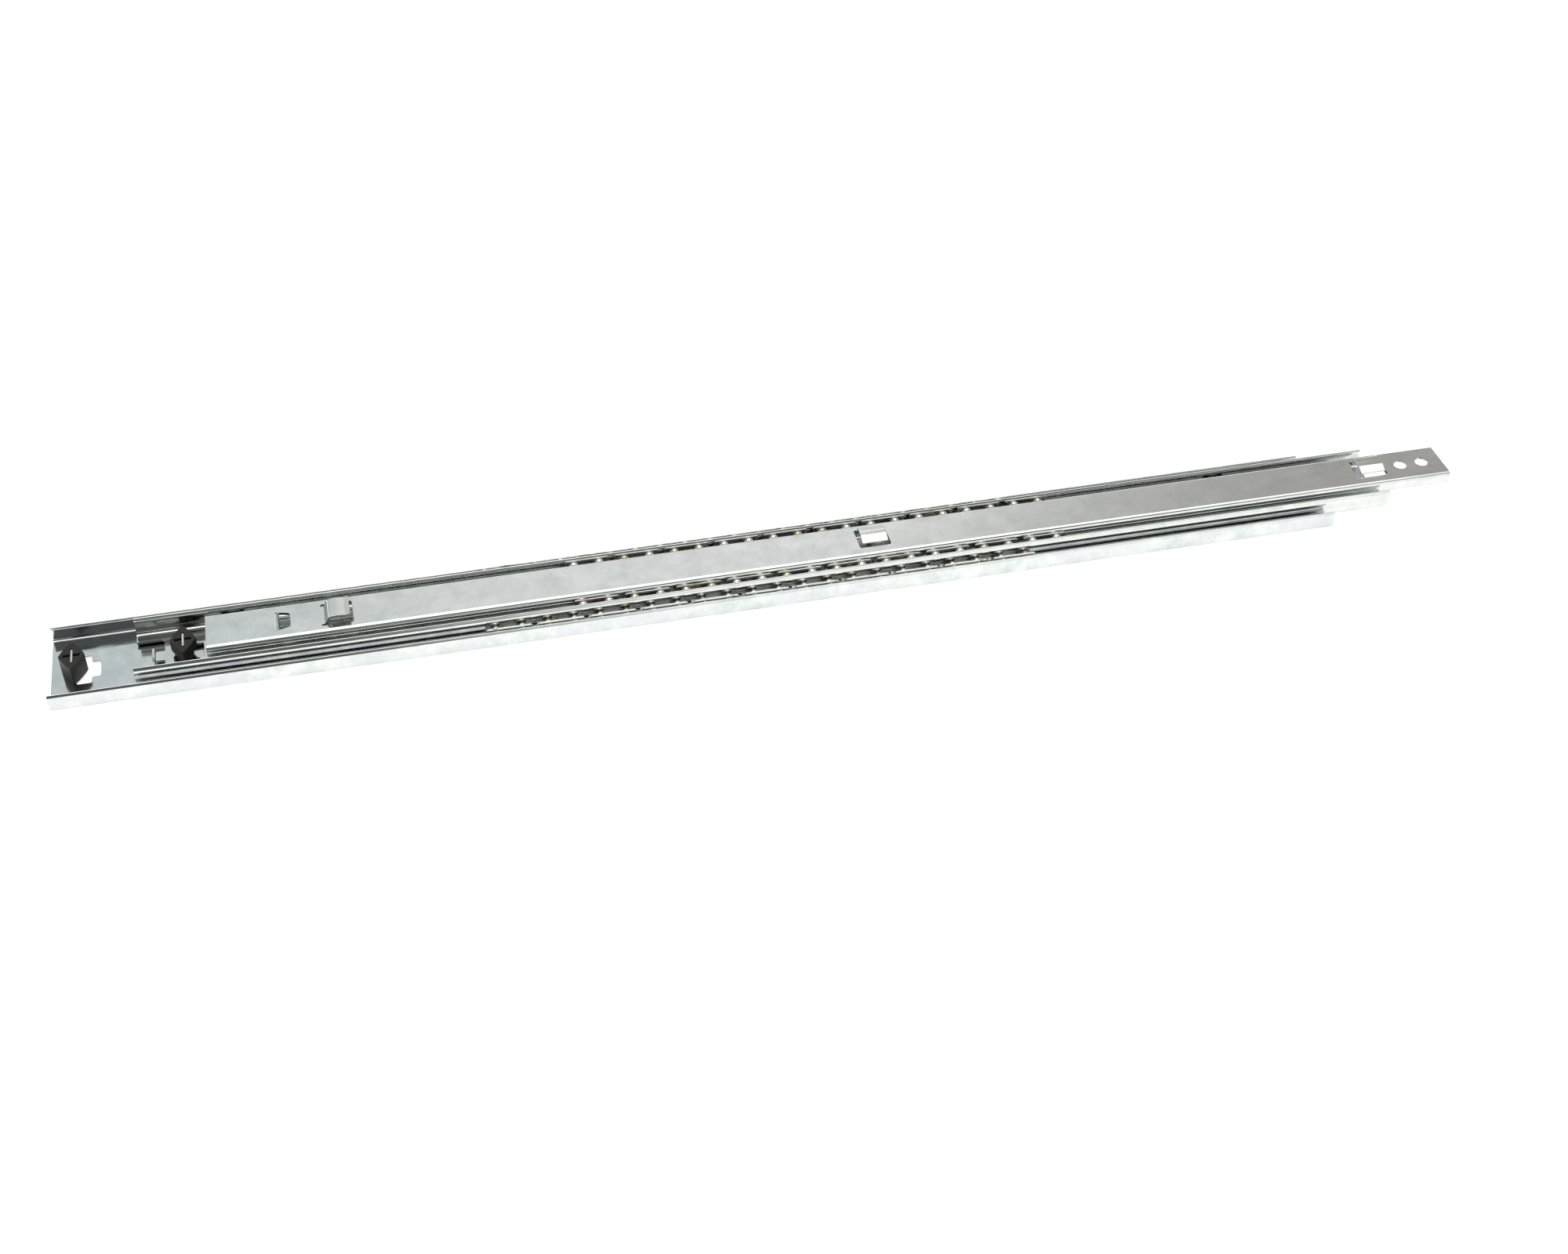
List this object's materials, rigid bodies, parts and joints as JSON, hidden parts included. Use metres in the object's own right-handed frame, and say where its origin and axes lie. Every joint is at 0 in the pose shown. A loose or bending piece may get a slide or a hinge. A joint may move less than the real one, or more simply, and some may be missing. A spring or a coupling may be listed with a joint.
{
  "type": "cabinet drawer slide",
  "caption": "Full-extension ball-bearing drawer slide: three nested steel members, two ball retainers, rubber end bumpers and lanced drawer hooks.",
  "frame": {"origin": "centre of the outer member's back face, at the middle of its length", "axes": "+X along the slide to the front of the cabinet, +Z from the cabinet side to the drawer side, +Y across the slide"},
  "size_m": [0.62, 0.0456, 0.0166],
  "materials": {
    "outer_zinc": "clear zinc plate, soft mirror",
    "intermediate_zinc": "clear zinc plate, bright",
    "inner_zinc": "clear zinc plate, satin with blotches",
    "retainer_steel": "bright zinc plate, lightly greased",
    "ball_steel": "polished bearing steel",
    "bumper_rubber": "matt moulded black"
  },
  "bodies": {
    "outer": {"outer_member": "outer_zinc", "outer_bumper": "bumper_rubber"},
    "outer_cage": {"outer_ball_retainer": "retainer_steel", "outer_balls_near_01": "ball_steel", "outer_balls_near_02": "ball_steel", "outer_balls_near_03": "ball_steel", "outer_balls_near_04": "ball_steel", "outer_balls_near_05": "ball_steel", "outer_balls_near_06": "ball_steel", "outer_balls_near_07": "ball_steel", "outer_balls_near_08": "ball_steel", "outer_balls_near_09": "ball_steel", "outer_balls_near_10": "ball_steel", "outer_balls_near_11": "ball_steel", "outer_balls_far_01": "ball_steel", "outer_balls_far_02": "ball_steel", "outer_balls_far_03": "ball_steel", "outer_balls_far_04": "ball_steel", "outer_balls_far_05": "ball_steel", "outer_balls_far_06": "ball_steel", "outer_balls_far_07": "ball_steel", "outer_balls_far_08": "ball_steel", "outer_balls_far_09": "ball_steel", "outer_balls_far_10": "ball_steel", "outer_balls_far_11": "ball_steel"},
    "intermediate": {"intermediate_member": "intermediate_zinc", "intermediate_bumper": "bumper_rubber"},
    "inner_cage": {"inner_ball_retainer": "retainer_steel", "inner_balls_near_01": "ball_steel", "inner_balls_near_02": "ball_steel", "inner_balls_near_03": "ball_steel", "inner_balls_near_04": "ball_steel", "inner_balls_near_05": "ball_steel", "inner_balls_near_06": "ball_steel", "inner_balls_near_07": "ball_steel", "inner_balls_near_08": "ball_steel", "inner_balls_near_09": "ball_steel", "inner_balls_near_10": "ball_steel", "inner_balls_far_01": "ball_steel", "inner_balls_far_02": "ball_steel", "inner_balls_far_03": "ball_steel", "inner_balls_far_04": "ball_steel", "inner_balls_far_05": "ball_steel", "inner_balls_far_06": "ball_steel", "inner_balls_far_07": "ball_steel", "inner_balls_far_08": "ball_steel", "inner_balls_far_09": "ball_steel", "inner_balls_far_10": "ball_steel"},
    "inner": {"inner_member": "inner_zinc"}
  },
  "joints": [
    {"name": "intermediate_slide", "type": "slide", "parent": "outer", "child": "intermediate", "axis": [1, 0, 0], "range_m": [-0.0258, 0.2536]},
    {"name": "outer_cage_slide", "type": "slide", "parent": "outer", "child": "outer_cage", "axis": [1, 0, 0], "range_m": [-0.0129, 0.1268]},
    {"name": "inner_slide", "type": "slide", "parent": "intermediate", "child": "inner", "axis": [1, 0, 0], "range_m": [-0.033, 0.2464]},
    {"name": "inner_cage_slide", "type": "slide", "parent": "intermediate", "child": "inner_cage", "axis": [1, 0, 0], "range_m": [-0.0165, 0.1232]}
  ],
  "couplings": [
    {"joint": "outer_cage_slide", "follows": "intermediate_slide", "ratio": 0.5},
    {"joint": "inner_cage_slide", "follows": "inner_slide", "ratio": 0.5}
  ]
}
